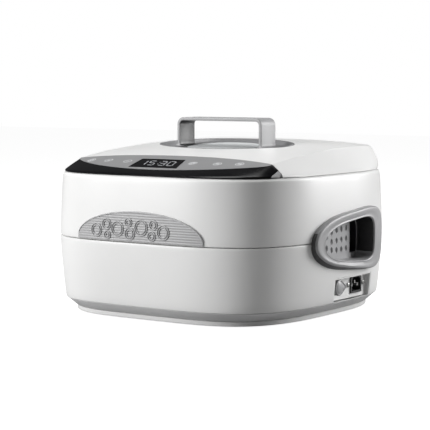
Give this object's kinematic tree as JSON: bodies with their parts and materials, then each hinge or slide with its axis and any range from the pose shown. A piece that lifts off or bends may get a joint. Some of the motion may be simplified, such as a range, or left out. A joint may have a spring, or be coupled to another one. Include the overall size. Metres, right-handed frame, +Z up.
{
  "type": "ultrasonic cleaner",
  "caption": "Bench-top ultrasonic cleaner with a lift-off domed lid, sloping control panel, steel tank and basket, side carrying grips and a drain valve.",
  "frame": {"origin": "centre of the footprint at the floor, under the feet", "axes": "+Z up, -Y towards the control panel, +X towards the side with the mains inlet and drain valve"},
  "size_m": [0.3946, 0.4041, 0.2595],
  "materials": {
    "white_shell": "gloss",
    "black_gloss": "gloss",
    "grey_plastic": "satin",
    "dark_grey_plastic": "matte",
    "light_grey_plastic": "satin",
    "black_plastic": "satin",
    "frosted_window": "frosted",
    "steel": "satin",
    "aluminium": "satin",
    "piezo_ceramic": "matte",
    "brass": "satin",
    "circuit_board": "satin",
    "silicone": "matte",
    "black_rubber": "matte"
  },
  "bodies": {
    "housing": {"lower_housing": "white_shell", "upper_housing": "white_shell", "panel_fascia": "black_gloss", "display_window": "black_gloss", "side_grip_right": "grey_plastic", "side_grip_left": "grey_plastic", "badge_plate": "grey_plastic", "panel_label": "grey_plastic", "base_pan": "dark_grey_plastic", "base_rim": "light_grey_plastic", "connector_plate": "light_grey_plastic", "display_ribbon": "light_grey_plastic", "power_inlet": "black_plastic", "drain_valve_body": "black_plastic", "drain_escutcheon": "black_plastic", "drain_outlet": "black_plastic", "fan_frame": "black_plastic", "thermostat": "black_plastic", "display_module": "black_plastic", "capacitor": "black_plastic", "tank": "steel", "inlet_screw_front": "steel", "inlet_screw_rear": "steel", "transformer_core": "steel", "transducer_1_horn": "aluminium", "transducer_2_horn": "aluminium", "transducer_3_horn": "aluminium", "heatsink": "aluminium", "transducer_1_stack": "piezo_ceramic", "transducer_2_stack": "piezo_ceramic", "transducer_3_stack": "piezo_ceramic", "drain_fitting": "brass", "drain_nut": "brass", "valve_barb_1": "brass", "valve_barb_2": "brass", "inlet_pin_live": "brass", "inlet_pin_earth": "brass", "inlet_pin_neutral": "brass", "main_board": "circuit_board", "display_board": "circuit_board", "tank_gasket": "silicone", "drain_hose_tank": "silicone", "drain_hose_outlet": "silicone", "heater_pad": "silicone", "foot_1": "black_rubber", "foot_2": "black_rubber", "foot_3": "black_rubber", "foot_4": "black_rubber", "mains_lead": "black_rubber", "transducer_lead": "black_rubber"},
    "lid": {"lid_shell": "white_shell", "lid_bezel": "grey_plastic", "lid_window": "frosted_window", "lid_handle": "grey_plastic", "handle_screw_left": "steel", "handle_screw_right": "steel"},
    "basket": {"basket": "steel"},
    "drain_knob": {"drain_knob": "grey_plastic"},
    "fan": {"fan_rotor": "black_plastic"}
  },
  "joints": [
    {"name": "lid_lift", "type": "slide", "parent": "housing", "child": "lid", "axis": [0, 0, 1], "range_m": [0, 0.3]},
    {"name": "basket_lift", "type": "slide", "parent": "housing", "child": "basket", "axis": [0, 0, 1], "range_m": [0, 0.135]},
    {"name": "drain_valve_turn", "type": "hinge", "parent": "housing", "child": "drain_knob", "pos_m": [0.18, -0.005, 0.039], "axis": [-1, 0, 0], "range_deg": [0, 90]},
    {"name": "fan_spin", "type": "hinge", "parent": "housing", "child": "fan", "pos_m": [0.08675, -0.121, 0.02], "axis": [0, 0, 1], "continuous": true}
  ],
  "couplings": [
    {"joint": "basket_lift", "follows": "lid_lift", "ratio": 0.45}
  ]
}
